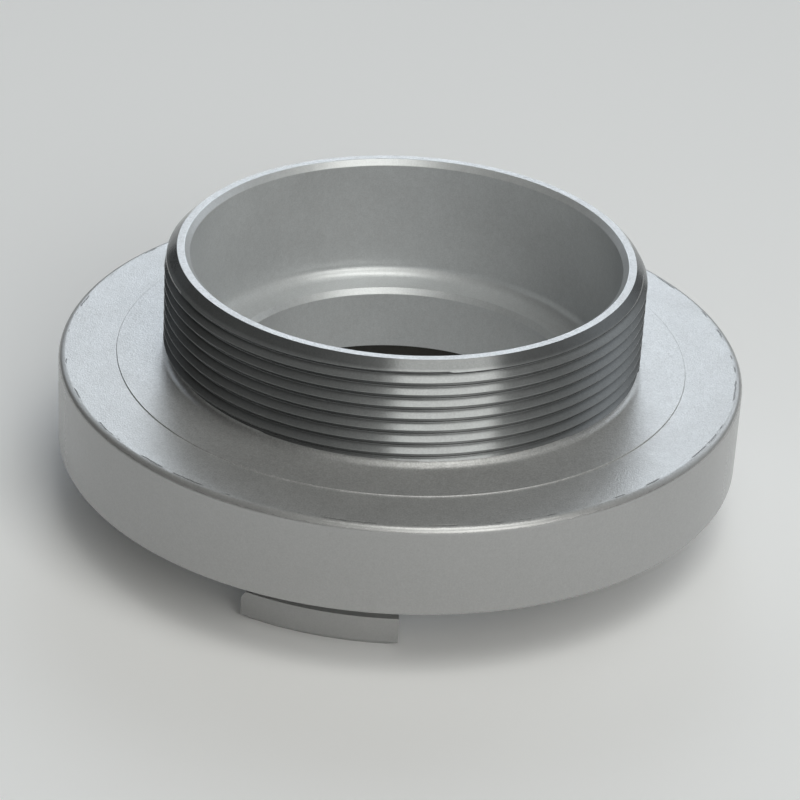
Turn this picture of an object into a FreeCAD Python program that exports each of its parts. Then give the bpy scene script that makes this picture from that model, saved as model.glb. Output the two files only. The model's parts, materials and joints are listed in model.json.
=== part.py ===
# Fixed claw half-coupling with a male pipe thread, in millimetres.
# The part stands on its two claws: z = 0 is under them and +Z points to the threaded end.
# The claws are centred on the -Y and +Y sides, and the sealing ring sits in the hub's underside.

import FreeCAD, Part
import Sketcher
import math
import os

doc = FreeCAD.newDocument("claw_adapter")

# Driving dimensions, in millimetres and degrees
SIZES = {
    "lug_radius": 44.5,
    "lug_angle": 30.5,
    "neck_thickness": 5.5,
    "hook_overhang": 4.3,
    "hook_height": 5.9,
    "hook_chamfer": 1.15,
    "hook_lead": 0.8,
    "hook_root": 1.0,
    "bevel_run": 2.0,
    "bevel_rise": 0.72,
    "nose_run": 1.0,
    "nose_rise": 1.25,
    "hub_clearance": 0.5,
    "hub_chamfer": 0.6,
    "lip_clearance": 1.0,
    "lip_height": 5.6,
    "lip_chamfer": 0.5,
    "lock_gap": 0.74,
    "hook_clearance": 1.3,
    "tip_clearance": 0.66,
    "channel_fillet": 2.0,
    "rim_wall": 7.4,
    "rim_fillet": 1.0,
    "rim_edge": 0.4,
    "floor_thickness": 4.28,
    "slot_clearance": 3.5,
    "slot_gap": 1.75,
    "slot_fillet": 1.5,
    "ramp_angle": 74.0,
    "ramp_rise": 1.2,
    "ramp_overlap": 1.0,
    "thread_radius": 43.94,
    "thread_chamfer": 2.2,
    "relief_depth": 1.33,
    "relief_height": 1.59,
    "spigot_wall": 4.61,
    "spigot_length": 20.64,
    "mouth_chamfer": 1.0,
    "disc_width": 8.24,
    "disc_rise": 0.2,
    "bore_fillet": 1.6,
    "shelf_rise": 0.85,
    "waterway_chamfer": 1.0,
    "hub_proud": 0.3,
    "hub_wall": 3.25,
    "shoulder_width": 2.0,
    "land_width": 2.95,
    "recess_depth": 1.81,
    "groove_depth": 4.45,
    "undercut": 0.8,
    "undercut_height": 2.0,
    "seal_root": 3.0,
    "seal_clearance": 0.15,
    "seal_inset": 0.5,
    "seal_proud": 0.95,
    "seal_edge": 0.8,
}

sheet = doc.addObject("Spreadsheet::Sheet", "dims")
for row, (name, size) in enumerate(SIZES.items(), start=1):
    sheet.set(f"A{row}", name)
    sheet.set(f"B{row}", str(size))
    sheet.setAlias(f"B{row}", name)
doc.recompute()

# Radii of the claws and their channel, worked outwards from the claws' inner face
LUG_R = "dims.lug_radius"
NECK_R = "(dims.lug_radius + dims.neck_thickness)"
HOOK_R = f"({NECK_R} + dims.hook_overhang)"
LIP_R = f"({NECK_R} + dims.lip_clearance)"
CHANNEL_R = f"({HOOK_R} + dims.hook_clearance)"
RIM_R = f"({CHANNEL_R} + dims.rim_wall)"

# Radii of the hub, the seal's seat and the waterway, worked inwards from the claws' inner face
HUB_R = "(dims.lug_radius - dims.hub_clearance)"
RECESS_R = f"({HUB_R} - dims.hub_wall)"
GROOVE_R = f"({RECESS_R} - dims.shoulder_width)"
UNDERCUT_R = f"({GROOVE_R} + dims.undercut)"
LAND_R = f"({GROOVE_R} - dims.seal_root - 2 * dims.seal_clearance)"
WATERWAY_R = f"({LAND_R} - dims.land_width)"

# Radii of the spigot and the raised disc round it
THREAD_R = "dims.thread_radius"
BORE_R = "(dims.thread_radius - dims.spigot_wall)"
RELIEF_R = "(dims.thread_radius - dims.relief_depth)"
DISC_R = f"({RELIEF_R} + dims.relief_height + dims.disc_width)"

# Heights, worked upwards from the claws' feet
HOOK_Z = "dims.hook_height"
RIM_Z = "(dims.hook_height + dims.lock_gap + dims.lip_height)"
LIP_Z = f"({RIM_Z} + dims.lip_height)"
RAMP_Z = f"({LIP_Z} - dims.ramp_rise)"
FLOOR_Z = f"(2 * {RIM_Z} + dims.tip_clearance)"
SHELF_Z = f"({FLOOR_Z} + dims.shelf_rise)"
FLANGE_Z = f"({FLOOR_Z} + dims.floor_thickness)"
DISC_Z = f"({FLANGE_Z} + dims.disc_rise)"
TOP_Z = f"({DISC_Z} + dims.spigot_length)"
HUB_Z = f"({RIM_Z} - dims.hub_proud)"
LAND_Z = f"({HUB_Z} + dims.recess_depth)"
GROOVE_Z = f"({LAND_Z} + dims.groove_depth)"
UNDERCUT_Z = f"({GROOVE_Z} - dims.undercut_height)"

# How far a cutting section runs past what it cuts
OVERRUN = "1.0"

# Directions about the axis, in degrees from +X towards +Y; the first claw points to -Y
LUG_TURN = "-90"
SLOT_ANGLE = "(dims.lug_angle + dims.slot_clearance)"
SLOT_TURN = f"({LUG_TURN} + dims.lug_angle / 2 + dims.slot_gap + {SLOT_ANGLE} / 2)"
RAMP_TURN = f"({SLOT_TURN} + {SLOT_ANGLE} / 2 - dims.ramp_overlap)"
CLAWS = 2


def value(expression):
    """Return the number that an expression stands for."""
    return float(sheet.evalExpression(expression))


def origin_feature(body, role):
    """Return the plane or axis of a body's origin that has this role."""
    return next(item for item in body.Origin.OriginFeatures if item.Role == role)


def upright_sketch(body, name, role, turn):
    """Add a sketch on an upright plane of the body's origin, turned about the axis."""
    sketch = body.newObject("Sketcher::SketchObject", name)
    sketch.AttachmentSupport = [(origin_feature(body, role), "")]
    sketch.MapMode = "FlatFace"
    upright = FreeCAD.Rotation(FreeCAD.Vector(0, 1, 0), 1)
    sketch.AttachmentOffset = FreeCAD.Placement(FreeCAD.Vector(), upright)
    sketch.setExpression("AttachmentOffset.Rotation.Angle", turn)
    return sketch


def section_sketch(body, name, turn):
    """Add a sketch that holds the axis, with its first direction pointing to a turn."""
    return upright_sketch(body, name, "XZ_Plane", turn)


def side_sketch(body, name, turn):
    """Add a sketch that holds the axis and faces a turn."""
    return upright_sketch(body, name, "YZ_Plane", turn)


def place_point(sketch, geometry, end, radius, height):
    """Tie one end of a line or arc to its radius and height."""
    for kind, expression, axis in (("DistanceX", radius, -2), ("DistanceY", height, -1)):
        if value(expression) == 0:
            sketch.addConstraint(Sketcher.Constraint("PointOnObject", geometry, end, axis))
            continue
        tie = Sketcher.Constraint(kind, -1, 1, geometry, end, value(expression))
        number = sketch.addConstraint(tie)
        sketch.setExpression(f"Constraints[{number}]", expression)


def draw_outline(sketch, corners):
    """Draw a closed outline of lines and quarter arcs.

    A corner is (radius, height) or (radius, height, centre), where centre says that a
    quarter arc leaves it, with its centre level with the arc's "start" or "end".
    """
    spots = [FreeCAD.Vector(value(corner[0]), value(corner[1]), 0) for corner in corners]
    pieces = []
    for index, corner in enumerate(corners):
        start = spots[index]
        stop = spots[(index + 1) % len(spots)]
        if len(corner) == 2:
            geometry = sketch.addGeometry(Part.LineSegment(start, stop), False)
            pieces.append((geometry, 1, 2))
            continue
        level = start if corner[2] == "start" else stop
        other = stop if corner[2] == "start" else start
        centre = FreeCAD.Vector(other.x, level.y, 0)
        middle = (start + stop) * 0.5 - centre
        middle = centre + middle.normalize() * (start - centre).Length
        geometry = sketch.addGeometry(Part.Arc(start, middle, stop), False)
        starts_first = sketch.getPoint(geometry, 1).distanceToPoint(start) < 1e-6
        first, last = (1, 2) if starts_first else (2, 1)
        pieces.append((geometry, first, last))
        level_end = first if corner[2] == "start" else last
        sketch.addConstraint(Sketcher.Constraint("Horizontal", geometry, 3, geometry, level_end))
    for index, corner in enumerate(corners):
        geometry, first, _ = pieces[index]
        before, _, last = pieces[index - 1]
        sketch.addConstraint(Sketcher.Constraint("Coincident", before, last, geometry, first))
        place_point(sketch, geometry, first, corner[0], corner[1])


def revolve(body, kind, name, sketch, angle):
    """Turn a section about the axis, half to each side of its plane, and add or cut it."""
    turned = body.newObject(f"PartDesign::{kind}", name)
    turned.Profile = sketch
    turned.ReferenceAxis = (sketch, ["V_Axis"])
    turned.setExpression("Angle", angle)
    turned.Midplane = True
    doc.recompute()
    return turned


def repeat_per_claw(body, name, features):
    """Repeat features for each claw round the axis."""
    pattern = body.newObject("PartDesign::PolarPattern", name)
    pattern.Originals = features
    pattern.Axis = (origin_feature(body, "Z_Axis"), [""])
    pattern.Angle = 360
    pattern.Occurrences = CLAWS
    body.Tip = pattern
    doc.recompute()
    return pattern


def straight_edges(shape, wanted):
    """Name the straight edges whose two ends both pass a test."""
    names = []
    for number, edge in enumerate(shape.Edges, start=1):
        ends = [vertex.Point for vertex in edge.Vertexes]
        if isinstance(edge.Curve, Part.Line) and all(wanted(end) for end in ends):
            names.append(f"Edge{number}")
    return names


# One casting, turned at the spigot, the flange and the hub
body = doc.addObject("PartDesign::Body", "coupling_body")
body.Label = "coupling_body"


def casting_section():
    """List the corners of the section through the spigot, flange, rim, channel and hub."""
    shelf_edge = f"({WATERWAY_R} + dims.waterway_chamfer)"
    bore = [
        (WATERWAY_R, LAND_Z),
        (WATERWAY_R, f"({SHELF_Z} - dims.waterway_chamfer)"),
        (shelf_edge, SHELF_Z),
        (f"({BORE_R} - dims.bore_fillet)", SHELF_Z, "end"),
        (BORE_R, f"({SHELF_Z} + dims.bore_fillet)"),
        (BORE_R, f"({TOP_Z} - dims.mouth_chamfer)"),
        (f"({BORE_R} + dims.mouth_chamfer)", TOP_Z),
    ]
    spigot = [
        (f"({THREAD_R} - dims.thread_chamfer)", TOP_Z),
        (THREAD_R, f"({TOP_Z} - dims.thread_chamfer)"),
        (THREAD_R, f"({DISC_Z} + dims.relief_height)"),
        (RELIEF_R, f"({DISC_Z} + dims.relief_height)", "start"),
        (f"({RELIEF_R} + dims.relief_height)", DISC_Z),
    ]
    flange = [
        (DISC_R, DISC_Z),
        (DISC_R, FLANGE_Z),
        (f"({RIM_R} - dims.rim_fillet)", FLANGE_Z, "end"),
        (RIM_R, f"({FLANGE_Z} - dims.rim_fillet)"),
        (RIM_R, f"({RIM_Z} + dims.rim_edge)", "start"),
        (f"({RIM_R} - dims.rim_edge)", RIM_Z),
    ]
    channel = [
        (f"({LIP_R} + dims.lip_chamfer)", RIM_Z),
        (LIP_R, f"({RIM_Z} + dims.lip_chamfer)"),
        (LIP_R, LIP_Z),
        (CHANNEL_R, LIP_Z),
        (CHANNEL_R, f"({FLOOR_Z} - dims.channel_fillet)", "start"),
        (f"({CHANNEL_R} - dims.channel_fillet)", FLOOR_Z),
        (f"({HUB_R} + dims.channel_fillet)", FLOOR_Z, "end"),
        (HUB_R, f"({FLOOR_Z} - dims.channel_fillet)"),
    ]
    hub = [
        (HUB_R, f"({HUB_Z} + dims.hub_chamfer)"),
        (f"({HUB_R} - dims.hub_chamfer)", HUB_Z),
        (RECESS_R, HUB_Z),
        (RECESS_R, LAND_Z),
        (GROOVE_R, LAND_Z),
        (GROOVE_R, UNDERCUT_Z),
        (UNDERCUT_R, UNDERCUT_Z),
        (UNDERCUT_R, GROOVE_Z),
        (LAND_R, GROOVE_Z),
        (LAND_R, LAND_Z),
    ]
    return bore + spigot + flange + channel + hub


casting_sketch = section_sketch(body, "casting_section", "0")
draw_outline(casting_sketch, casting_section())
casting = revolve(body, "Revolution", "casting", casting_sketch, "360")


def claw_section():
    """List the corners of a claw's section: a neck beside the hub, and an outward hook."""
    sunk_r = f"({HUB_R} - dims.hub_chamfer - dims.hub_clearance)"
    sunk_z = f"({FLOOR_Z} + dims.floor_thickness / 2)"
    return [
        (sunk_r, sunk_z),
        (NECK_R, sunk_z),
        (NECK_R, f"({HOOK_Z} + dims.hook_root)", "start"),
        (f"({NECK_R} + dims.hook_root)", HOOK_Z),
        (HOOK_R, HOOK_Z),
        (HOOK_R, "dims.hook_chamfer"),
        (f"({HOOK_R} - dims.hook_chamfer)", "0"),
        (f"({LUG_R} + dims.hook_lead)", "0"),
        (LUG_R, "dims.hook_lead"),
        (LUG_R, HUB_Z),
        (sunk_r, HUB_Z),
    ]


claw_sketch = section_sketch(body, "claw_section", LUG_TURN)
draw_outline(claw_sketch, claw_section())
claw = revolve(body, "Revolution", "claw", claw_sketch, "dims.lug_angle")
claws = repeat_per_claw(body, "claws", [claw])


def slot_section():
    """List the corners of the opening in the lip that lets the other half's claw in."""
    return [
        (NECK_R, f"({RIM_Z} - {OVERRUN})"),
        (CHANNEL_R, f"({RIM_Z} - {OVERRUN})"),
        (CHANNEL_R, f"({LIP_Z} + {OVERRUN})"),
        (NECK_R, f"({LIP_Z} + {OVERRUN})"),
    ]


slot_sketch = section_sketch(body, "slot_section", SLOT_TURN)
draw_outline(slot_sketch, slot_section())
slot = revolve(body, "Groove", "slot", slot_sketch, SLOT_ANGLE)
slots = repeat_per_claw(body, "slots", [slot])


def ramp_section():
    """List the corners of the cut that leaves a rising ramp on the back of the lip."""
    return [
        (NECK_R, RAMP_Z),
        (CHANNEL_R, RAMP_Z),
        (CHANNEL_R, f"({LIP_Z} + {OVERRUN})"),
        (NECK_R, f"({LIP_Z} + {OVERRUN})"),
    ]


ramp_sketch = section_sketch(body, "ramp_section", RAMP_TURN)
draw_outline(ramp_sketch, ramp_section())
ramp = body.newObject("PartDesign::SubtractiveHelix", "ramp")
ramp.Profile = ramp_sketch
ramp.ReferenceAxis = (ramp_sketch, ["V_Axis"])
ramp.Mode = "pitch-turns-angle"
ramp.setExpression("Turns", "dims.ramp_angle / 360")
ramp.setExpression("Pitch", "dims.ramp_rise * 360 / dims.ramp_angle")
doc.recompute()
ramps = repeat_per_claw(body, "ramps", [ramp])


def distance_from_axis(point):
    """Return how far a point lies from the axis."""
    return math.hypot(point.x, point.y)


def near(size, expression):
    """Say whether a measured size is the one that an expression stands for."""
    return abs(size - value(expression)) < 1e-4


lip_corners = body.newObject("PartDesign::Fillet", "lip_corners")
lip_corners.Base = (ramps, straight_edges(ramps.Shape, lambda end: near(distance_from_axis(end), LIP_R)))
lip_corners.setExpression("Radius", "dims.slot_fillet")
doc.recompute()


def bevel_claw_end(name, turn, side):
    """Cut the bevel across the foot of a claw's end.

    The side is 1 at the claw's +turn end and -1 at the other. The section is a triangle
    whose slope crosses the foot one run in and the end one rise up, and it overruns both.
    """
    sketch = side_sketch(body, f"{name}_section", turn)
    run = "dims.bevel_run" if side > 0 else "(-dims.bevel_run)"
    draw_outline(sketch, [
        (f"-2 * {run}", "-dims.bevel_rise"),
        (run, "-dims.bevel_rise"),
        (run, "2 * dims.bevel_rise"),
    ])
    cut = body.newObject("PartDesign::Pocket", name)
    cut.Profile = sketch
    cut.Reversed = True
    cut.setExpression("Length", f"{HOOK_R} + dims.hook_clearance")
    doc.recompute()
    return cut


bevels = [
    bevel_claw_end("bevel_left", f"{LUG_TURN} - dims.lug_angle / 2", -1),
    bevel_claw_end("bevel_right", f"{LUG_TURN} + dims.lug_angle / 2", 1),
]


def bevel_hook_top(name, turn):
    """Cut the bevel across the top of a hook at its left end, outside the neck.

    The section is a triangle whose slope crosses the hook's top one run in and its end
    one rise down, and it overruns both.
    """
    start = f"({NECK_R} + dims.hook_root)"
    sketch = side_sketch(body, f"{name}_section", turn)
    sketch.setExpression("AttachmentOffset.Base.x", f"{start} * sin(({turn}) * 1deg) * 1mm")
    sketch.setExpression("AttachmentOffset.Base.z", f"{start} * cos(({turn}) * 1deg) * 1mm")
    draw_outline(sketch, [
        ("(-dims.nose_run)", f"({HOOK_Z} - 2 * dims.nose_rise)"),
        ("2 * dims.nose_run", f"({HOOK_Z} + dims.nose_rise)"),
        ("(-dims.nose_run)", f"({HOOK_Z} + dims.nose_rise)"),
    ])
    cut = body.newObject("PartDesign::Pocket", name)
    cut.Profile = sketch
    cut.Reversed = True
    cut.setExpression("Length", "dims.hook_overhang + dims.hook_clearance")
    doc.recompute()
    return cut


bevels.append(bevel_hook_top("nose_left", f"{LUG_TURN} - dims.lug_angle / 2"))
repeat_per_claw(body, "bevels", bevels)


# The sealing ring: a flat collar against the land, with a barbed root in the hub's groove
seal = doc.addObject("PartDesign::Body", "sealing_ring")
seal.Label = "sealing_ring"


def seal_section():
    """List the corners of the sealing ring's section."""
    face_z = f"({HUB_Z} - dims.seal_proud)"
    round_z = f"({face_z} + dims.seal_edge)"
    inner_r = f"({WATERWAY_R} + dims.seal_inset)"
    outer_r = f"({RECESS_R} - dims.seal_clearance)"
    root_in_r = f"({LAND_R} + dims.seal_clearance)"
    root_out_r = f"({GROOVE_R} - dims.seal_clearance)"
    barb_r = f"({UNDERCUT_R} - dims.seal_clearance)"
    barb_z = f"({UNDERCUT_Z} + dims.seal_clearance)"
    root_z = f"({GROOVE_Z} - dims.seal_clearance)"
    return [
        (f"({inner_r} + dims.seal_edge)", face_z),
        (f"({outer_r} - dims.seal_edge)", face_z, "end"),
        (outer_r, round_z),
        (outer_r, LAND_Z),
        (root_out_r, LAND_Z),
        (root_out_r, barb_z),
        (barb_r, barb_z),
        (barb_r, f"({root_z} - dims.undercut)"),
        (root_out_r, root_z),
        (root_in_r, root_z),
        (root_in_r, LAND_Z),
        (inner_r, LAND_Z),
        (inner_r, round_z, "start"),
    ]


seal_sketch = section_sketch(seal, "seal_section", "0")
draw_outline(seal_sketch, seal_section())
revolve(seal, "Revolution", "ring", seal_sketch, "360")

# Every object is checked before anything is written
doc.recompute()
for item in doc.Objects:
    if "Invalid" in item.State or "Error" in item.State:
        raise RuntimeError(f"{item.Name} failed: {item.State}")
for part in (body, seal):
    if part.Shape.isNull() or not part.Shape.isValid() or len(part.Shape.Solids) != 1:
        raise RuntimeError(f"{part.Label} is not one valid solid")

os.makedirs("parts", exist_ok=True)
for part in (body, seal):
    part.Shape.exportStep(f"parts/{part.Label}.step")
    print(part.Label, round(part.Shape.Volume, 1), "mm3")
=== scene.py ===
import json
import math

import bpy
import numpy as np
from mathutils import Matrix, Vector
from mathutils.geometry import tessellate_polygon


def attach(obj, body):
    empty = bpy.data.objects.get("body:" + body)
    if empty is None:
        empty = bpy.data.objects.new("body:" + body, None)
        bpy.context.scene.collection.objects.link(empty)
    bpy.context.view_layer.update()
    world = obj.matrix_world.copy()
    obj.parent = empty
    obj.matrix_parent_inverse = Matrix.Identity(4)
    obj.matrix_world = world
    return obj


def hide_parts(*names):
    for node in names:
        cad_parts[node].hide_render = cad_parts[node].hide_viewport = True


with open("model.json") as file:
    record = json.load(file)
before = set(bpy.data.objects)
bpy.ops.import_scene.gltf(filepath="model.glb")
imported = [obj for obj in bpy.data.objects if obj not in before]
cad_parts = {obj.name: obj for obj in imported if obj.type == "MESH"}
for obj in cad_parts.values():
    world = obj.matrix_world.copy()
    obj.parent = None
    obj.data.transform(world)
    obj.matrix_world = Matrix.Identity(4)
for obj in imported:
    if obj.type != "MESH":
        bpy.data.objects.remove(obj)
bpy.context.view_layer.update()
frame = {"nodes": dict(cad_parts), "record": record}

# The casting's lengths are in millimetres, in the frame of the CAD model. MM makes them metres.
MM = 0.001
TAU = 2 * math.pi

# Radii and heights of the turned surfaces
WATERWAY_R = 32.5
LAND_R = 35.45
LAND_Z = 13.75
SHELF_Z = 25.99
WATERWAY_CHAMFER = 1.0
BORE_R = 39.33
BORE_FILLET = 2.4
MOUTH_CHAMFER = 1.0
TOP_Z = 50.26
THREAD_R = frame["record"]["mounts"][0]["dims"]["r_mm"]
THREAD_CHAMFER = 2.2
RELIEF_R = 42.61
RELIEF_Z = 31.21
DISC_Z = 29.62
DISC_R = 52.44
FLANGE_Z = 29.42
RIM_R = 63.0
RIM_FILLET = 1.3
RIM_EDGE = 0.4
RIM_Z = 12.24
LIP_R = 51.5
CHANNEL_R = 55.6
FLOOR_Z = 25.14
GROOVE_Z = 18.2
HUB_IN_R = 41.0
EDGE_BREAK = 0.12

# The spigot's thread: 11 turns to the inch, right-handed, with the photograph's even flanks
PITCH = 25.4 / 11
FLANK = math.radians(45)
ROUND_R = 0.12
TRIANGLE = PITCH / (2 * math.tan(FLANK))
DEPTH = TRIANGLE - 2 * ROUND_R * (1 / math.sin(FLANK) - 1)
FIRST_GROOVE_Z = 48.43
# Turns are worked out from well above the first groove to below the spigot's wall, and
# only the points on the wall are kept
TURNS_ABOVE = 2.5
TURNS = 14
# The label of a column's lowest point, past those of all its turns
LOWEST = 10**6
# No point of the thread comes nearer to the ends of its wall than this
THREAD_END = 0.02

# How finely the turned surfaces are cut, and how near two points count as one
COLUMNS = 300
BORE_STEPS, RIM_STEPS, RELIEF_STEPS, EDGE_STEPS = 8, 10, 8, 4
ROUND_STEPS, FLANK_STEPS = 6, 4
SAME = 1e-4
# Runs of the section whose normals agree this well are one smooth run
SMOOTH_JOIN = 0.999
# The CAD's level faces lie this near to their height, and its round walls and lips to
# their radius; what lies this far below the rim belongs to a claw
LEVEL_SLACK = 0.004
WALL_SLACK = 0.05
LIP_SLACK = 0.6
BELOW_RIM = 0.01

# Finishes of the casting, by their place in its list of materials
CAST, BORE, THREAD = 0, 1, 2


def line(start, stop):
    """Return the two ends of a straight run and its normal at both."""
    direction = np.subtract(stop, start)
    normal = np.array([-direction[1], direction[0]]) / np.hypot(*direction)
    return [(np.array(start, float), normal), (np.array(stop, float), normal)]


def arc(start, stop, centre, inward, steps):
    """Return points of a quarter arc with their normals; inward ones point to the centre."""
    spots = []
    begin = math.atan2(start[1] - centre[1], start[0] - centre[0])
    end = math.atan2(stop[1] - centre[1], stop[0] - centre[0])
    turn = (end - begin + math.pi) % TAU - math.pi
    radius = math.dist(start, centre)
    for step in range(steps + 1):
        angle = begin + turn * step / steps
        out = np.array([math.cos(angle), math.sin(angle)])
        spots.append((np.add(centre, radius * out), -out if inward else out))
    return spots


def broken_corner(before, corner, after, size):
    """Return a small round over an outside corner between two straight runs."""
    to_before = np.subtract(before, corner) / math.dist(before, corner)
    to_after = np.subtract(after, corner) / math.dist(after, corner)
    start = np.add(corner, size * to_before)
    stop = np.add(corner, size * to_after)
    first = line(start, corner)[0][1]
    last = line(corner, stop)[0][1]
    middle = ((start + stop) / 2 + np.array(corner)) / 2
    between = (first + last) / np.linalg.norm(first + last)
    return [(start, first), (middle, between), (stop, last)]


def joins_smoothly(run, spots):
    """Tell whether a run's last point and the next run's first share place and normal."""
    (end, end_n), (start, start_n) = run[-1], spots[0]
    return np.allclose(end, start) and end_n @ start_n > SMOOTH_JOIN


def profile_runs(corners):
    """Turn a list of corners into runs of points with normals, each run smooth.

    A corner is (r, z), (r, z, "break") for an edge that is slightly rounded, or
    (r, z, centre, inward, steps) for the start of an arc that ends at the next corner.
    """
    runs = []
    joined = None
    for index in range(len(corners) - 1):
        here, there = corners[index], corners[index + 1]
        start, stop = here[:2], there[:2]
        if len(here) == 5:
            spots = arc(start, stop, here[2], here[3], here[4])
        else:
            low = np.array(start, float) if joined is None else joined
            high = np.array(stop, float)
            if len(there) == 3:
                after = corners[index + 2][:2]
                corner_round = broken_corner(start, stop, after, EDGE_BREAK)
                high = corner_round[0][0]
            spots = line(low, high)
            joined = None
            if len(there) == 3:
                spots = spots + corner_round[1:]
                joined = corner_round[-1][0]
        if runs and joins_smoothly(runs[-1], spots):
            runs[-1].extend(spots[1:])
        else:
            runs.append(list(spots))
    return runs


def merged(points):
    """Return each point's place in a list without repeats, and that list."""
    rounded = np.round(points / SAME).astype(np.int64)
    keys, index = np.unique(rounded, axis=0, return_inverse=True)
    index = index.reshape(-1)
    shared = np.zeros((len(keys), 3))
    shared[index] = points
    return index, shared


class Shell:
    """Faces with a normal and a finish at each corner, gathered piece by piece."""

    def __init__(self):
        self.points = []
        self.normals = []
        self.faces = []
        self.finishes = []

    def add(self, corners, normals, finish):
        first = len(self.points)
        self.points.extend(corners)
        self.normals.extend(normals)
        self.faces.append(tuple(range(first, first + len(corners))))
        self.finishes.append(finish)

    def build(self, name, materials):
        points = np.array(self.points)
        index, shared = merged(points)
        faces, normals, finishes = [], [], []
        for face, finish in zip(self.faces, self.finishes):
            corners = [int(index[c]) for c in face]
            kept = [i for i, c in enumerate(corners) if c != corners[i - 1]]
            if len(kept) < 3:
                continue
            faces.append([corners[i] for i in kept])
            normals.extend(self.normals[face[i]] for i in kept)
            finishes.append(finish)
        mesh = bpy.data.meshes.new(name)
        mesh.from_pydata((shared * MM).tolist(), [], faces)
        mesh.polygons.foreach_set("use_smooth", [True] * len(faces))
        mesh.polygons.foreach_set("material_index", finishes)
        for material in materials:
            mesh.materials.append(material)
        mesh.normals_split_custom_set([Vector(n).normalized() for n in normals])
        mesh.update()
        piece = bpy.data.objects.new(name, mesh)
        bpy.context.scene.collection.objects.link(piece)
        return piece


ANGLES = [TAU * column / COLUMNS for column in range(COLUMNS)]
OUTWARD = [np.array([math.cos(a), math.sin(a), 0.0]) for a in ANGLES]
UP = np.array([0.0, 0.0, 1.0])


def placed(column, radius, height):
    """Return a point, or a normal, given in a column's outward and upward directions."""
    return OUTWARD[column % COLUMNS] * radius + UP * height


def turn_run(shell, run, finish):
    """Turn one smooth run of the section about the axis; the level ring on top is dull."""
    for (low, low_n), (high, high_n) in zip(run, run[1:]):
        if np.allclose(low, high):
            continue
        shade = CAST if min(low[1], high[1]) > TOP_Z - SAME else finish
        for column in range(COLUMNS):
            around = (column, column + 1, column + 1, column)
            spots, turned_n = (high, high, low, low), (high_n, high_n, low_n, low_n)
            corners = [placed(place, *spot) for place, spot in zip(around, spots)]
            normals = [placed(place, *normal) for place, normal in zip(around, turned_n)]
            shell.add(corners, normals, shade)


def thread_form(steps_round, steps_flank):
    """Return one pitch of the thread as (depth below the crest, drop, normal), from a crest."""
    span = math.pi / 2 - FLANK
    reach = ROUND_R * math.sin(span)
    edge = ROUND_R * (1 - math.cos(span))
    slope = (math.sin(FLANK), -math.cos(FLANK))
    flank_depth = DEPTH - 2 * edge
    flank_drop = PITCH / 2 - 2 * reach
    form = []
    for step in range(steps_round):
        angle = span * (2 * step / steps_round - 1)
        normal = (math.cos(angle), -math.sin(angle))
        form.append((ROUND_R * (1 - math.cos(angle)), ROUND_R * math.sin(angle), normal))
    for step in range(steps_flank):
        share = step / steps_flank
        form.append((edge + flank_depth * share, reach + flank_drop * share, slope))
    for step in range(steps_round):
        angle = span * (1 - 2 * step / steps_round)
        normal = (math.cos(angle), -math.sin(angle))
        depth = DEPTH - ROUND_R * (1 - math.cos(angle))
        form.append((depth, PITCH / 2 - ROUND_R * math.sin(angle), normal))
    for step in range(steps_flank):
        share = step / steps_flank
        drop = PITCH / 2 + reach + flank_drop * share
        form.append((DEPTH - edge - flank_depth * share, drop, (slope[0], -slope[1])))
    return form


def thread_columns():
    """Return each column's list of (label, radius, height, normal) down the threaded wall."""
    form = thread_form(ROUND_STEPS, FLANK_STEPS)
    chamfer_n = np.array([1.0, 0.0, 1.0]) / math.sqrt(2)
    top_r = THREAD_R - THREAD_CHAMFER
    columns = []
    for column in range(COLUMNS + 1):
        crest_z = FIRST_GROOVE_Z + PITCH * TURNS_ABOVE + PITCH * column / COLUMNS
        spots = [(-1, top_r, TOP_Z, chamfer_n)]
        for label in range(TURNS * len(form)):
            depth, drop, normal = form[label % len(form)]
            height = crest_z - (label // len(form)) * PITCH - drop
            if height > TOP_Z - THREAD_END or height < RELIEF_Z + THREAD_END:
                continue
            radius = THREAD_R - depth
            lean = -normal[1] * PITCH / (TAU * radius)
            facing = np.array([normal[0], lean, normal[1]])
            cone = top_r + TOP_Z - height
            if cone < radius:
                radius, facing = cone, chamfer_n
            spots.append((label, radius, height, facing))
        last = spots[-1]
        spots.append((LOWEST, last[1], RELIEF_Z, last[3]))
        columns.append(spots)
    return columns


def turned_normal(column, facing):
    """Return a normal given as (outward, sideways, up) in a column's own directions."""
    out = OUTWARD[column % COLUMNS]
    side = np.array([-out[1], out[0], 0.0])
    return out * facing[0] + side * facing[1] + UP * facing[2]


def add_thread(shell):
    """Stitch neighbouring columns of the threaded wall, and close its lower shoulder."""
    columns = thread_columns()

    def corner(column, spot):
        return placed(column, spot[1], spot[2]), turned_normal(column, spot[3])

    def face(*spots):
        pairs = [corner(column, spot) for column, spot in spots]
        shell.add([p for p, _ in pairs], [n for _, n in pairs], THREAD)

    for column in range(COLUMNS):
        left, right = columns[column], columns[column + 1]
        i = j = 0
        while i < len(left) - 1 or j < len(right) - 1:
            here, there = left[i], right[j]
            down_left = left[i + 1][0] if i < len(left) - 1 else math.inf
            down_right = right[j + 1][0] if j < len(right) - 1 else math.inf
            if down_left == down_right:
                below_left, below_right = (column, left[i + 1]), (column + 1, right[j + 1])
                face((column, here), below_left, below_right, (column + 1, there))
                i, j = i + 1, j + 1
            elif down_left < down_right:
                face((column, here), (column, left[i + 1]), (column + 1, there))
                i += 1
            else:
                face((column, here), (column + 1, right[j + 1]), (column + 1, there))
                j += 1
        low_left, low_right = left[-1], right[-1]
        corners = [
            placed(column, low_left[1], RELIEF_Z),
            placed(column, RELIEF_R, RELIEF_Z),
            placed(column + 1, RELIEF_R, RELIEF_Z),
            placed(column + 1, low_right[1], RELIEF_Z),
        ]
        shell.add(corners, [-UP] * 4, THREAD)


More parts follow.
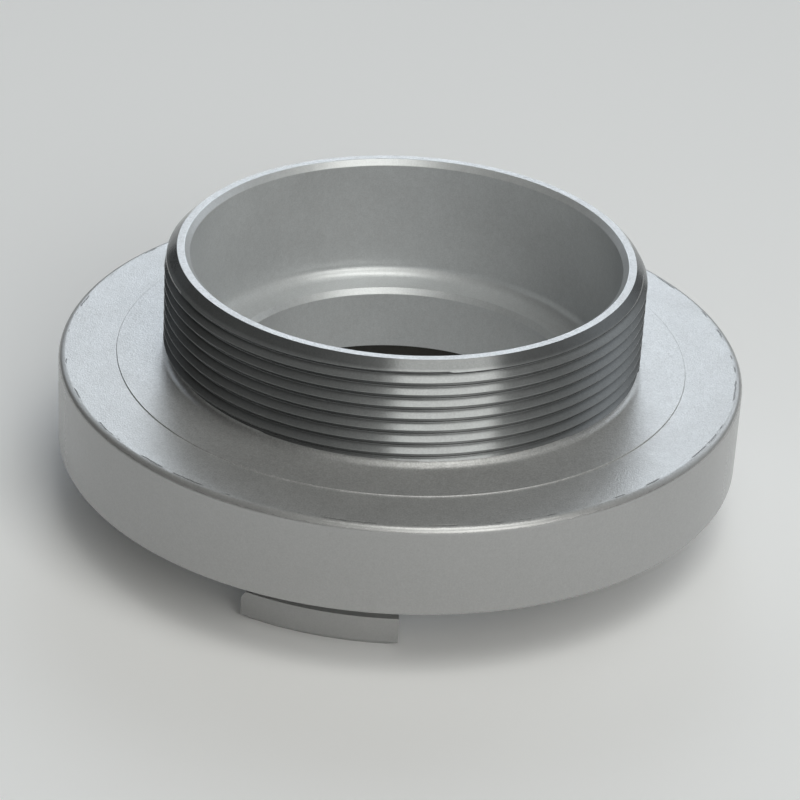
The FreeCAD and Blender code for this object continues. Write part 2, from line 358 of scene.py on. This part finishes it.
def ring(radius, height):
    """Return the points of a level circle, one to each column."""
    return [placed(column, radius, height) for column in range(COLUMNS)]


def is_level(point, height):
    """Tell whether a point lies at a height, as near as the CAD's level faces do."""
    return abs(point[2] - height) < LEVEL_SLACK


def boundary_loop(edges_left, points, height):
    """Walk the open edges that lie level at a height, and return their loop of points."""
    level = {i for edge in edges_left for i in edge if is_level(points[i], height)}
    following = {a: b for a, b in edges_left if a in level and b in level}
    start = next(iter(following))
    loop = [start]
    while following[loop[-1]] != start:
        loop.append(following[loop[-1]])
    return [points[i] for i in loop]


def add_underside(shell):
    """Carry over the claws, channel, hub and seal groove from the CAD node.

    The level faces round them, under the rim and inside the hub, are filled anew
    between their edges and the turned surfaces.
    """
    mesh = frame["nodes"]["coupling_body"].data
    count = len(mesh.vertices)
    points = np.zeros(count * 3)
    mesh.vertices.foreach_get("co", points)
    points = points.reshape(-1, 3) / MM
    corner_n = np.zeros(len(mesh.loops) * 3)
    mesh.corner_normals.foreach_get("vector", corner_n)
    corner_n = corner_n.reshape(-1, 3)
    index, shared = merged(points)
    open_edges = {}
    for polygon in mesh.polygons:
        corners = [points[v] for v in polygon.vertices]
        middle = sum(corners) / len(corners)
        radius = math.hypot(middle[0], middle[1])
        reaches = [math.hypot(c[0], c[1]) for c in corners]
        under_rim = all(is_level(c, RIM_Z) for c in corners) and min(reaches) > LIP_R - LIP_SLACK
        under_hub = all(is_level(c, LAND_Z) for c in corners) and max(reaches) < LAND_R + WALL_SLACK
        in_channel = (
            LAND_R - WALL_SLACK < radius < CHANNEL_R + WALL_SLACK
            and middle[2] < FLOOR_Z + WALL_SLACK
        )
        in_bore = radius < HUB_IN_R and middle[2] > GROOVE_Z + WALL_SLACK
        on_claw = middle[2] < RIM_Z - BELOW_RIM
        if under_rim or under_hub or in_bore or not (in_channel or on_claw):
            continue
        normals = [corner_n[i] for i in polygon.loop_indices]
        shell.add(corners, normals, CAST)
        chain = [int(index[v]) for v in polygon.vertices]
        for a, b in zip(chain, chain[1:] + chain[:1]):
            if (b, a) in open_edges:
                del open_edges[(b, a)]
            elif a != b:
                open_edges[(a, b)] = True
    rim_loop = boundary_loop(open_edges, shared, RIM_Z)
    hub_loop = boundary_loop(open_edges, shared, LAND_Z)
    add_level_face(shell, ring(RIM_R - RIM_EDGE, RIM_Z), rim_loop)
    add_level_face(shell, hub_loop, ring(WATERWAY_R, LAND_Z))


def add_level_face(shell, outer, inner):
    """Fill the level face between two loops, facing down."""
    loops = [[Vector(p) for p in outer], [Vector(p) for p in inner]]
    spots = outer + inner
    for triangle in tessellate_polygon(loops):
        a, b, c = (spots[i] for i in triangle)
        if np.cross(b - a, c - a)[2] > 0:
            b, c = c, b
        shell.add([a, b, c], [-UP] * 3, CAST)


def coupling_shell():
    """Return the whole casting: turned surfaces, thread, and the CAD node's underside."""
    shell = Shell()
    shelf_r = WATERWAY_R + WATERWAY_CHAMFER
    fillet_r, fillet_z = BORE_R - BORE_FILLET, SHELF_Z + BORE_FILLET
    round_r, round_z = RIM_R - RIM_FILLET, FLANGE_Z - RIM_FILLET
    edge_r, edge_z = RIM_R - RIM_EDGE, RIM_Z + RIM_EDGE
    bore = profile_runs([
        (WATERWAY_R, LAND_Z),
        (WATERWAY_R, SHELF_Z - WATERWAY_CHAMFER, "break"),
        (shelf_r, SHELF_Z, "break"),
        (fillet_r, SHELF_Z, (fillet_r, fillet_z), True, BORE_STEPS),
        (BORE_R, fillet_z),
        (BORE_R, TOP_Z - MOUTH_CHAMFER, "break"),
        (BORE_R + MOUTH_CHAMFER, TOP_Z, "break"),
        (THREAD_R - THREAD_CHAMFER, TOP_Z),
    ])
    for run in bore:
        turn_run(shell, run, BORE)
    add_thread(shell)
    relief_middle = (RELIEF_R + RELIEF_Z - DISC_Z, RELIEF_Z)
    outside = profile_runs([
        (RELIEF_R, RELIEF_Z, relief_middle, True, RELIEF_STEPS),
        (relief_middle[0], DISC_Z),
        (DISC_R, DISC_Z, "break"),
        (DISC_R, FLANGE_Z),
        (round_r, FLANGE_Z, (round_r, round_z), False, RIM_STEPS),
        (RIM_R, round_z),
        (RIM_R, edge_z, (edge_r, edge_z), False, EDGE_STEPS),
        (edge_r, RIM_Z),
    ])
    for run in outside:
        turn_run(shell, run, CAST)
    add_underside(shell)
    return shell


class Nodes:
    """A small writer for the node tree of a material or the world."""

    def __init__(self, owner):
        owner.use_nodes = True
        self.tree = owner.node_tree
        self.tree.nodes.clear()

    def feed(self, socket, source):
        """Link a socket to another node's, or give it a plain value."""
        if isinstance(source, bpy.types.NodeSocket):
            self.tree.links.new(source, socket)
        else:
            socket.default_value = source

    def add(self, kind, inputs=(), **settings):
        node = self.tree.nodes.new(kind)
        for name, setting in settings.items():
            setattr(node, name, setting)
        for name, source in dict(inputs).items():
            self.feed(node.inputs[name], source)
        return node

    def math(self, operation, *values):
        node = self.add("ShaderNodeMath", operation=operation)
        for socket, source in zip(node.inputs, values):
            self.feed(socket, source)
        return node.outputs[0]

    def plus(self, a, b):
        return self.math("ADD", a, b)

    def minus(self, a, b):
        return self.math("SUBTRACT", a, b)

    def times(self, a, b):
        return self.math("MULTIPLY", a, b)

    def scaled(self, colour, share):
        """Return a colour times a share of light."""
        inputs = {0: colour, "Scale": share}
        return self.add("ShaderNodeVectorMath", inputs, operation="SCALE").outputs[0]

    def spread(self, source, low, high, new_low, new_high, smooth=False):
        """Map one range onto another, held at its ends."""
        inputs = {
            "Value": source,
            "From Min": low,
            "From Max": high,
            "To Min": new_low,
            "To Max": new_high,
        }
        node = self.add("ShaderNodeMapRange", inputs)
        node.interpolation_type = "SMOOTHSTEP" if smooth else "LINEAR"
        return node.outputs["Result"]

    def swing(self, source, size, new_size):
        """Map a swing to both sides of 0 onto another."""
        return self.spread(source, -size, size, -new_size, new_size)

    def fade(self, amount, end):
        """Return 1 where an amount is 0, down to end where it is 1."""
        return self.spread(amount, 0.0, 1.0, 1.0, end)

    def noise(self, place, cell, detail):
        """Return noise with cells of a given size in mm."""
        inputs = {"Vector": place, "Scale": 1 / (cell * MM), "Detail": detail}
        return self.add("ShaderNodeTexNoise", inputs).outputs["Fac"]

    def place(self):
        """Return the place in the object's own frame, in metres."""
        return self.add("ShaderNodeTexCoord").outputs["Object"]

    def split(self, vector):
        """Return a vector's X, Y and Z."""
        return self.add("ShaderNodeSeparateXYZ", {"Vector": vector}).outputs

    def reach(self, x, y):
        """Return the distance from the part's axis."""
        return self.math("SQRT", self.plus(self.times(x, x), self.times(y, y)))


# One aluminium in three colours: the thread's darker, bluish colour is painted shade and
# reflection, the bore's lighter, bluish colour is painted light
CAST_COLOUR = (0.50, 0.502, 0.50)
BORE_PAINTED_LIGHT_COLOUR = (0.58, 0.595, 0.602)
THREAD_PAINTED_SHADE_COLOUR = (0.282, 0.291, 0.295)

# Fine grit and coarser clumps make up the grain of a blasted surface
GRIT_SHARE, CLUMP_SHARE = 0.68, 0.32
CLUMP_CELLS = 3.1

# How far the noise of the grain and of the patches swings from its middle
GRAIN_SWING, PATCH_SWING = 0.2, 0.15

# Broad patches and smaller smears, by the size of their cells in mm and their share, and
# how far they change tone and roughness
PATCH_CELL, SMEAR_CELL = 7.0, 1.9
PATCH_SHARE, SMEAR_SHARE = 0.6, 0.4
PATCH_TONE, PATCH_ROUGH = 0.03, 0.03

# The nicks along the flange's outer edge, in mm: how far their line wavers, how far off it
# they are full and end, the cells of the waver and of the gaps, and how far down they reach
NICK_WAVER = 0.5
NICK_CORE, NICK_EDGE = 0.05, 0.16
NICK_WAVER_CELL, NICK_GAP_CELL = 1.6, 4.5
NICK_LOW = 0.1
# The gaps' noise between bare edge and nick, and the share of light left in a nick by its painted
# shade
NICK_START, NICK_FULL = 0.50, 0.56
NICK_PAINTED_SHADE = 0.45

# The rim's side and the claws are smoother than the flange and carry painted shade, a darker tone:
# their shares of its tone and grain, how much less rough the rim is, and over how many mm the
# claws' look sets in
RIM_CLAW_PAINTED_SHADE = 0.88
RIM_GRAIN = 0.3
RIM_POLISH = 0.12
CLAW_FADE = 0.5

# Painted shade: the share of light left in the thread's grooves and on its faces that look down.
# The first fades out at this share of the depth, the second between these upward normals.
ROOT_PAINTED_SHADE, UNDER_PAINTED_SHADE = 0.65, 0.45
CLEAR_DEPTH = 0.55
UNDER_NORMAL = (-0.5, 0.1)


def grain_field(nodes, place, cell):
    """Return a blasted surface's grain: fine grit with some coarser clumps, round 0.5."""
    grit = nodes.noise(place, cell, 1.0)
    clumps = nodes.noise(place, cell * CLUMP_CELLS, 2.0)
    return nodes.plus(nodes.times(grit, GRIT_SHARE), nodes.times(clumps, CLUMP_SHARE))


def edge_nicks(nodes, place, reach, z):
    """Return 1 in short shallow nicks along the flange's outer edge and 0 elsewhere; the nicks dent
    the bump and carry painted shade.
    """
    wave = nodes.minus(nodes.noise(place, NICK_WAVER_CELL, 2.0), 0.5)
    wavy_reach = nodes.plus(reach, nodes.times(wave, NICK_WAVER * MM))
    off = nodes.math("ABSOLUTE", nodes.minus(wavy_reach, (RIM_R - RIM_FILLET) * MM))
    band = nodes.spread(off, NICK_CORE * MM, NICK_EDGE * MM, 1.0, 0.0)
    gaps = nodes.noise(place, NICK_GAP_CELL, 2.0)
    broken = nodes.spread(gaps, NICK_START, NICK_FULL, 0.0, 1.0)
    level = nodes.math("GREATER_THAN", z, (FLANGE_Z - NICK_LOW) * MM)
    return nodes.times(nodes.times(band, broken), level)


def painted_groove_shade(nodes, place):
    """Return the share of light left by painted shade in the thread's grooves and on its faces that
    look down.
    """
    x, y, _ = nodes.split(place)
    root, clear = (THREAD_R - DEPTH) * MM, (THREAD_R - CLEAR_DEPTH * DEPTH) * MM
    deep = nodes.spread(nodes.reach(x, y), root, clear, 1.0, 0.0, smooth=True)
    up = nodes.split(nodes.add("ShaderNodeTexCoord").outputs["Normal"])["Z"]
    under = nodes.spread(up, *UNDER_NORMAL, 1.0, 0.0)
    return nodes.times(nodes.fade(deep, ROOT_PAINTED_SHADE), nodes.fade(under, UNDER_PAINTED_SHADE))


def metal_material(
    name, colour, metallic, roughness, cell, height, contrast, cast=False, threaded=False
):
    """Return aluminium with a grain in its height, tone and roughness, and broad faint patches.

    cell and height are the grain's size and depth in mm, and contrast is its share of the tone.
    """
    material = bpy.data.materials.new(name)
    nodes = Nodes(material)
    place = nodes.place()
    grain = nodes.minus(grain_field(nodes, place, cell), 0.5)
    patches = nodes.times(nodes.noise(place, PATCH_CELL, 3.0), PATCH_SHARE)
    smears = nodes.times(nodes.noise(place, SMEAR_CELL, 4.0), SMEAR_SHARE)
    blend = nodes.minus(nodes.plus(patches, smears), 0.5)
    if cast:
        x, y, z = nodes.split(place)
        reach = nodes.reach(x, y)
        over = nodes.spread(reach, (RIM_R - RIM_FILLET) * MM, RIM_R * MM, 0.0, 1.0)
        claw = nodes.spread(z, (RIM_Z - CLAW_FADE) * MM, RIM_Z * MM, 1.0, 0.0)
        smooth = nodes.math("MAXIMUM", over, claw)
        calm = nodes.fade(smooth, RIM_GRAIN)
        grain = nodes.times(grain, calm)
        blend = nodes.times(blend, calm)
    grain_tone = nodes.swing(grain, GRAIN_SWING, contrast)
    patch_tone = nodes.swing(blend, PATCH_SWING, PATCH_TONE)
    share = nodes.plus(nodes.plus(grain_tone, patch_tone), 1.0)
    rough = nodes.plus(nodes.swing(blend, PATCH_SWING, PATCH_ROUGH), roughness)
    if cast:
        # Nicks along the flange's outer edge dent the bump and carry dark dashes of painted shade
        nick_dents_and_shade = edge_nicks(nodes, place, reach, z)
        share = nodes.times(share, nodes.fade(nick_dents_and_shade, NICK_PAINTED_SHADE))
        # Painted shade: the rim's side and the claws are made darker than the flange
        share = nodes.times(share, nodes.fade(smooth, RIM_CLAW_PAINTED_SHADE))
        grain = nodes.minus(grain, nick_dents_and_shade)
        rough = nodes.minus(rough, nodes.spread(over, 0.0, 1.0, 0.0, RIM_POLISH))
    # The thread's grooves and its faces that look down get painted shade
    if threaded:
        share = nodes.times(share, painted_groove_shade(nodes, place))
    bump_inputs = {"Height": grain, "Distance": height * MM, "Strength": 1.0}
    bump = nodes.add("ShaderNodeBump", bump_inputs).outputs[0]
    shader_inputs = {
        "Base Color": nodes.scaled(colour, share),
        "Roughness": rough,
        "Normal": bump,
        "Metallic": metallic,
    }
    shader = nodes.add("ShaderNodeBsdfPrincipled", shader_inputs)
    nodes.add("ShaderNodeOutputMaterial", {"Surface": shader.outputs[0]})
    return material


RUBBER_DARK = (0.016, 0.0145, 0.011, 1)
RUBBER_PALE = (0.026, 0.0235, 0.018, 1)
RUBBER_ROUGH = (0.5, 0.68)
# The cells of the rubber's patches and skin, and the skin's height, in mm
RUBBER_PATCH, RUBBER_SKIN, RUBBER_HEIGHT = 9.0, 0.5, 0.03
# The ranges of their noise that change the colour and the roughness
PATCH_RANGE, SKIN_RANGE = (0.35, 0.65), (0.3, 0.7)
# The colours among the inputs and outputs of a Mix node
MIX_A, MIX_B, MIX_RESULT = 6, 7, 2


def rubber_material():
    """Return dull dark rubber with faint broad patches and a fine skin."""
    material = bpy.data.materials.new("seal_rubber")
    nodes = Nodes(material)
    place = nodes.place()
    broad = nodes.noise(place, RUBBER_PATCH, 3.0)
    fine = nodes.noise(place, RUBBER_SKIN, 3.0)
    patchy = nodes.spread(broad, *PATCH_RANGE, 0.0, 1.0)
    mixed = nodes.add("ShaderNodeMix", {"Factor": patchy}, data_type="RGBA")
    mixed.inputs[MIX_A].default_value = RUBBER_DARK
    mixed.inputs[MIX_B].default_value = RUBBER_PALE
    bump_inputs = {"Height": fine, "Distance": RUBBER_HEIGHT * MM, "Strength": 1.0}
    shader_inputs = {
        "Base Color": mixed.outputs[MIX_RESULT],
        "Roughness": nodes.spread(fine, *SKIN_RANGE, *RUBBER_ROUGH),
        "Normal": nodes.add("ShaderNodeBump", bump_inputs).outputs[0],
    }
    shader = nodes.add("ShaderNodeBsdfPrincipled", shader_inputs)
    nodes.add("ShaderNodeOutputMaterial", {"Surface": shader.outputs[0]})
    return material


# Each finish: metallic, roughness, then the grain's cell, height and contrast
cast_metal = metal_material("cast_metal", CAST_COLOUR, 0.50, 0.38, 0.30, 0.065, 0.17, cast=True)
bore_metal = metal_material("bore_metal", BORE_PAINTED_LIGHT_COLOUR, 0.38, 0.33, 0.28, 0.022, 0.08)
thread_metal = metal_material(
    "thread_metal", THREAD_PAINTED_SHADE_COLOUR, 0.6, 0.16, 0.26, 0.012, 0.11, threaded=True
)

coupling = coupling_shell().build("coupling", [cast_metal, bore_metal, thread_metal])
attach(coupling, "root")
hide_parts("coupling_body")

seal = frame["nodes"]["sealing_ring"]
for seal_slot in seal.material_slots:
    seal_slot.material = rubber_material()

# The camera, worked out from the photograph's circles. Its place is measured from the
# middle of the spigot's top, back, to the right and up as the camera sees it. PHOTO_TURN
# turns the photograph's directions into the part's.
PHOTO_AZIMUTH = math.radians(12.9)
PHOTO_TURN = Matrix.Rotation(PHOTO_AZIMUTH, 4, "Z")
PHOTO_TOP = Matrix.Translation((0, 0, TOP_Z * MM))
ELEVATION = math.radians(28.716)
ROLL = math.radians(3.305)
CAMERA_DISTANCE = 575.84 * MM
CAMERA_RIGHT = 0.23 * MM
CAMERA_UP = -27.051 * MM
FOCAL_PIXELS = 3172.2
PHOTO_PIXELS = 800
SENSOR = 36.0
CLIP_NEAR, CLIP_FAR = 0.01, 50

right = Vector((1, 0, 0))
ahead = Vector((0, math.cos(ELEVATION), -math.sin(ELEVATION)))
above = Vector((0, math.sin(ELEVATION), math.cos(ELEVATION)))
centre = right * CAMERA_RIGHT + above * CAMERA_UP - ahead * CAMERA_DISTANCE
rolled_right = right * math.cos(ROLL) + above * math.sin(ROLL)
rolled_up = above * math.cos(ROLL) - right * math.sin(ROLL)
stance = Matrix((rolled_right, rolled_up, -ahead)).transposed().to_4x4()
stance.translation = centre
camera_data = bpy.data.cameras.new("camera")
camera_data.sensor_width = SENSOR
camera_data.lens = FOCAL_PIXELS / PHOTO_PIXELS * SENSOR
camera_data.clip_start = CLIP_NEAR
camera_data.clip_end = CLIP_FAR
camera = bpy.data.objects.new("camera", camera_data)
bpy.context.scene.collection.objects.link(camera)
camera.matrix_world = PHOTO_TURN @ PHOTO_TOP @ stance
bpy.context.scene.camera = camera


def flat_sheet(name, corners):
    """Return a flat sheet with a material of its own, and that material's nodes."""
    mesh = bpy.data.meshes.new(name)
    mesh.from_pydata(corners, [], [tuple(range(len(corners)))])
    material = bpy.data.materials.new(name)
    mesh.materials.append(material)
    sheet = bpy.data.objects.new(name, mesh)
    bpy.context.scene.collection.objects.link(sheet)
    return sheet, Nodes(material)


# The softbox overhead, in three bands from back to front, with their strengths. Their
# corners are in the photograph's directions, as multiples of its height in metres.
SOFTBOX_HEIGHT = 1.5
WARM_WHITE = (1.0, 1.005, 0.965)
BANDS = [
    (4.10, [(-0.03, 0.05), (0.42, 0.0), (0.52, -0.19), (-0.035, -0.20)]),
    (3.30, [(-0.035, -0.20), (0.52, -0.19), (0.62, -0.375), (-0.04, -0.45)]),
    (2.30, [(-0.04, -0.45), (0.62, -0.375), (0.72, -0.56), (-0.045, -0.70)]),
]
for number, (strength, corners) in enumerate(BANDS):
    spots = [(x * SOFTBOX_HEIGHT, y * SOFTBOX_HEIGHT, SOFTBOX_HEIGHT) for x, y in corners]
    box, box_nodes = flat_sheet(f"softbox_{number}", [PHOTO_TURN @ Vector(spot) for spot in spots])
    glow = box_nodes.add("ShaderNodeEmission", {"Color": (*WARM_WHITE, 1), "Strength": strength})
    box_nodes.add("ShaderNodeOutputMaterial", {"Surface": glow.outputs[0]})

# The floor, with its half width in metres. The camera and shiny surfaces see it paler
# than it lights the part.
FLOOR_HALF = 3.0
FLOOR_TONE = 0.57
FLOOR_SEEN = 0.95
floor_corners = [(-1, -1), (1, -1), (1, 1), (-1, 1)]
floor_spots = [(x * FLOOR_HALF, y * FLOOR_HALF, 0) for x, y in floor_corners]
floor, floor_nodes = flat_sheet("floor", floor_spots)
ray = floor_nodes.add("ShaderNodeLightPath").outputs
mirrored = floor_nodes.math("MAXIMUM", ray["Is Glossy Ray"], ray["Is Transmission Ray"])
seen = floor_nodes.math("MAXIMUM", ray["Is Camera Ray"], mirrored)
floor_colour = floor_nodes.spread(seen, 0.0, 1.0, FLOOR_TONE, FLOOR_SEEN)
paper = floor_nodes.add("ShaderNodeBsdfDiffuse", {"Color": floor_colour})
floor_nodes.add("ShaderNodeOutputMaterial", {"Surface": paper.outputs[0]})

# The room's light, as soft round lobes in a dark room, in the photograph's directions.
# Each lobe has an azimuth and elevation in degrees, a sharpness, a strength and a colour.
COOL = (0.92, 1.0, 1.08)
WARM = (1.0, 1.0, 0.96)
PLAIN = (1.0, 1.0, 1.0)
WIDE, NARROW = 18.0, 50.0
LOBES = [
    (0, 28.7, NARROW, 4.70, COOL),
    (32, 28, NARROW, 2.40, COOL),
    (60, 28, WIDE, 0.50, COOL),
    (120, 28, WIDE, 0.20, PLAIN),
    (150, 28, WIDE, 3.50, WARM),
    (180, 28, WIDE, 0.62, WARM),
    (180, 48, WIDE, 0.43, WARM),
    (328, 28, NARROW, 1.50, COOL),
]
world = bpy.data.worlds.new("room")
bpy.context.scene.world = world
room = Nodes(world)
sky = room.add("ShaderNodeTexCoord").outputs["Generated"]


def lobe(azimuth, elevation, sharpness, strength, colour):
    """Return the light of a soft lobe of sky; azimuth 0 is behind the part and 90 to its right."""
    a, e = math.radians(azimuth), math.radians(elevation)
    level = math.cos(e)
    middle = PHOTO_TURN @ Vector((math.sin(a) * level, math.cos(a) * level, math.sin(e)))
    facing_inputs = {0: sky, 1: tuple(middle)}
    facing = room.add("ShaderNodeVectorMath", facing_inputs, operation="DOT_PRODUCT")
    falloff = room.times(room.minus(facing.outputs["Value"], 1.0), sharpness)
    return room.scaled(colour, room.times(room.math("EXPONENT", falloff), strength))


total = (0.0, 0.0, 0.0)
for settings in LOBES:
    total_inputs = {0: total, 1: lobe(*settings)}
    total = room.add("ShaderNodeVectorMath", total_inputs, operation="ADD").outputs[0]
light = room.add("ShaderNodeBackground", {"Color": total, "Strength": 1.0})
room.add("ShaderNodeOutputWorld", {"Surface": light.outputs[0]})

bpy.context.scene.view_settings.view_transform = "Standard"
